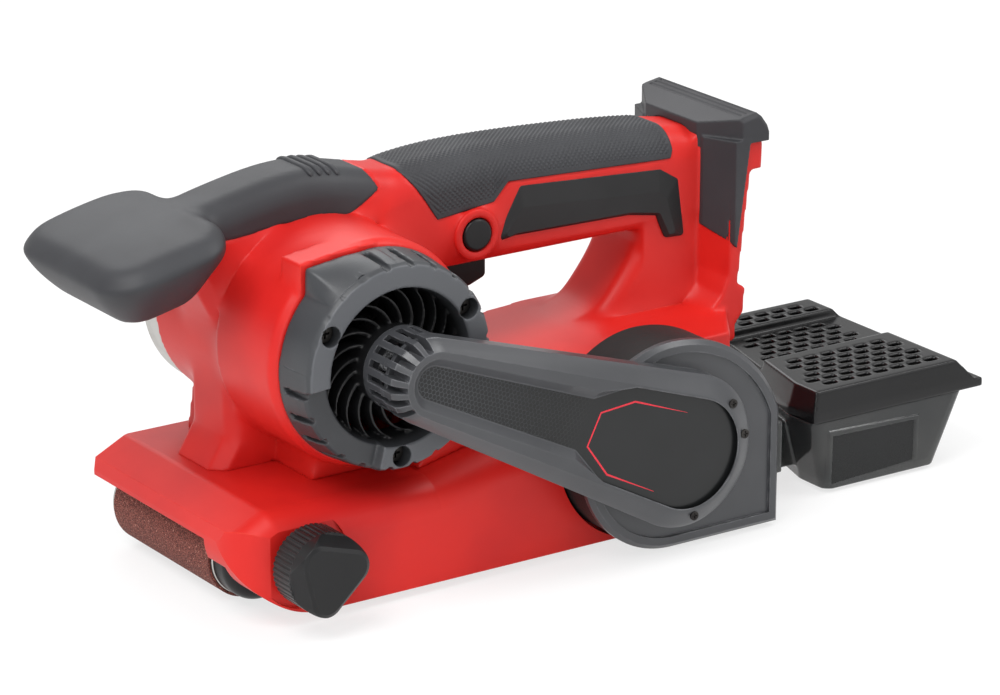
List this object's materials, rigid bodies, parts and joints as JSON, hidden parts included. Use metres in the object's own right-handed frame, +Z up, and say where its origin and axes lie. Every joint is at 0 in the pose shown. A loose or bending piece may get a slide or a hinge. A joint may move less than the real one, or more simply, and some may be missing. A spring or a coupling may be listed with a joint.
{
  "type": "handheld belt sander",
  "caption": "Cordless handheld belt sander with front handle, bar handle over a transverse motor, side drive arm, sprung front roller, battery seat and clear dust box.",
  "frame": {"origin": "on the sanding face, on the centre line of the belt", "axes": "-X towards the front handle, +X towards the battery seat, -Y towards the side with the drive arm, +Z up"},
  "size_m": [0.3998, 0.153, 0.1606],
  "materials": {
    "red_housing": "satin moulded ABS",
    "grey_plastic": "fine-grained moulding",
    "cap_plastic": "fine-grained moulding",
    "drum_black": "textured",
    "black_plastic": "satin",
    "gloss_black": "glossy",
    "smoked_clear": "translucent smoked plastic",
    "soft_grip": "soft-touch overmould",
    "black_rubber": "soft-touch overmould",
    "bumper_rubber": "soft bumper",
    "roller_rubber": "rubber-covered drive roller",
    "cast_aluminium": "cast and turned",
    "spring_steel": "pressed sheet",
    "bright_steel": "ground",
    "dark_steel": "blackened screw",
    "gear_steel": "hobbed",
    "laminated_iron": "stacked laminations",
    "copper_wire": "enamelled winding",
    "contact_brass": "plated",
    "graphite_pad": "graphite cloth",
    "abrasive_cloth": "aluminium-oxide grit",
    "filter_paper": "pleated paper",
    "board_green": "solder-masked board"
  },
  "bodies": {
    "root": {"base_housing": "red_housing", "housing_near": "red_housing", "housing_far": "red_housing", "housing_screws": "dark_steel", "belt_frame": "cast_aluminium", "platen": "spring_steel", "platen_pad": "graphite_pad", "tension_spring": "spring_steel", "lever_pin": "bright_steel", "roller_bearings": "bright_steel", "fan_bearings": "bright_steel", "fan_housing": "drum_black", "fan_cover": "grey_plastic", "cover_screws": "dark_steel", "arm_back_plate": "grey_plastic", "belt_cover": "grey_plastic", "timing_belt": "black_rubber", "sanding_belt": "abrasive_cloth", "stator": "laminated_iron", "stator_windings": "copper_wire", "motor_end_cap": "cap_plastic", "motor_bearings": "bright_steel", "cap_screws": "dark_steel", "far_motor_cover": "cast_aluminium", "handle_grip": "soft_grip", "handle_insert_near": "black_rubber", "handle_insert_far": "black_rubber", "front_grip": "soft_grip", "battery_bumper": "bumper_rubber", "terminal_block": "black_plastic", "terminal_blades": "contact_brass", "trigger_pin": "bright_steel", "switch_module": "black_plastic", "control_board": "board_green"},
    "motor_rotor": {"rotor": "laminated_iron", "motor_shaft": "bright_steel", "motor_fan": "black_plastic", "motor_pulley": "cast_aluminium"},
    "fan_drive": {"fan_shaft": "bright_steel", "impeller": "black_plastic", "driven_pulley": "cast_aluminium", "pinion": "gear_steel"},
    "drive_drum": {"drive_roller": "roller_rubber", "roller_shaft": "bright_steel", "roller_gear": "gear_steel"},
    "front_fork": {"roller_fork": "spring_steel", "front_axle": "bright_steel"},
    "front_drum": {"front_roller": "cast_aluminium", "front_roller_hub": "black_plastic"},
    "belt_lever": {"tension_lever": "black_plastic"},
    "tracking": {"tracking_knob": "black_plastic", "tracking_screw": "bright_steel"},
    "switch_trigger": {"trigger": "black_plastic"},
    "lock_off": {"lock_button": "black_plastic"},
    "dust_container": {"dust_box": "smoked_clear", "lid_hinge_pin": "bright_steel"},
    "dust_cover": {"dust_lid": "gloss_black", "dust_filter": "filter_paper"}
  },
  "joints": [
    {"name": "motor_spin", "type": "hinge", "parent": "root", "child": "motor_rotor", "pos_m": [-0.0408, 0, 0.098], "axis": [0, 1, 0], "continuous": true},
    {"name": "fan_spin", "type": "hinge", "parent": "root", "child": "fan_drive", "pos_m": [0.08114, 0, 0.045], "axis": [0, 1, 0], "continuous": true},
    {"name": "roller_spin", "type": "hinge", "parent": "root", "child": "drive_drum", "pos_m": [0.08114, 0, 0.022], "axis": [0, 1, 0], "continuous": true},
    {"name": "front_roller_spin", "type": "hinge", "parent": "front_fork", "child": "front_drum", "pos_m": [-0.086, 0, 0.018], "axis": [0, 1, 0], "continuous": true},
    {"name": "tension_lever_swing", "type": "hinge", "parent": "root", "child": "belt_lever", "pos_m": [-0.024, 0.034, 0.02], "axis": [0, 0, 1], "range_deg": [0, 70]},
    {"name": "front_fork_slide", "type": "slide", "parent": "root", "child": "front_fork", "axis": [1, 0, 0], "range_m": [0, 0.006], "deforming": ["tension_spring"]},
    {"name": "tracking_knob_turn", "type": "hinge", "parent": "root", "child": "tracking", "pos_m": [-0.082, -0.08, 0.0255], "axis": [0, 1, 0], "range_deg": [-180, 180]},
    {"name": "trigger_press", "type": "hinge", "parent": "root", "child": "switch_trigger", "pos_m": [0.0215, 0, 0.118], "axis": [0, -1, 0], "range_deg": [0, 8], "stiffness_Nm_per_rad": 0.5, "springref_deg": -11.46},
    {"name": "lock_button_press", "type": "slide", "parent": "root", "child": "lock_off", "axis": [0, 1, 0], "range_m": [0, 0.003], "stiffness_N_per_m": 200, "springref_m": -0.002},
    {"name": "dust_box_pull", "type": "slide", "parent": "root", "child": "dust_container", "axis": [1, 0, 0], "range_m": [0, 0.03]},
    {"name": "dust_lid_open", "type": "hinge", "parent": "dust_container", "child": "dust_cover", "pos_m": [0.2515, 0, 0.028], "axis": [0, 1, 0], "range_deg": [0, 90]}
  ],
  "couplings": [
    {"joint": "fan_spin", "follows": "motor_spin", "ratio": 0.33333},
    {"joint": "roller_spin", "follows": "motor_spin", "ratio": -0.13131},
    {"joint": "front_roller_spin", "follows": "motor_spin", "ratio": -0.16133},
    {"joint": "tension_lever_swing", "follows": "front_fork_slide", "rad_per_m": 203.62}
  ]
}
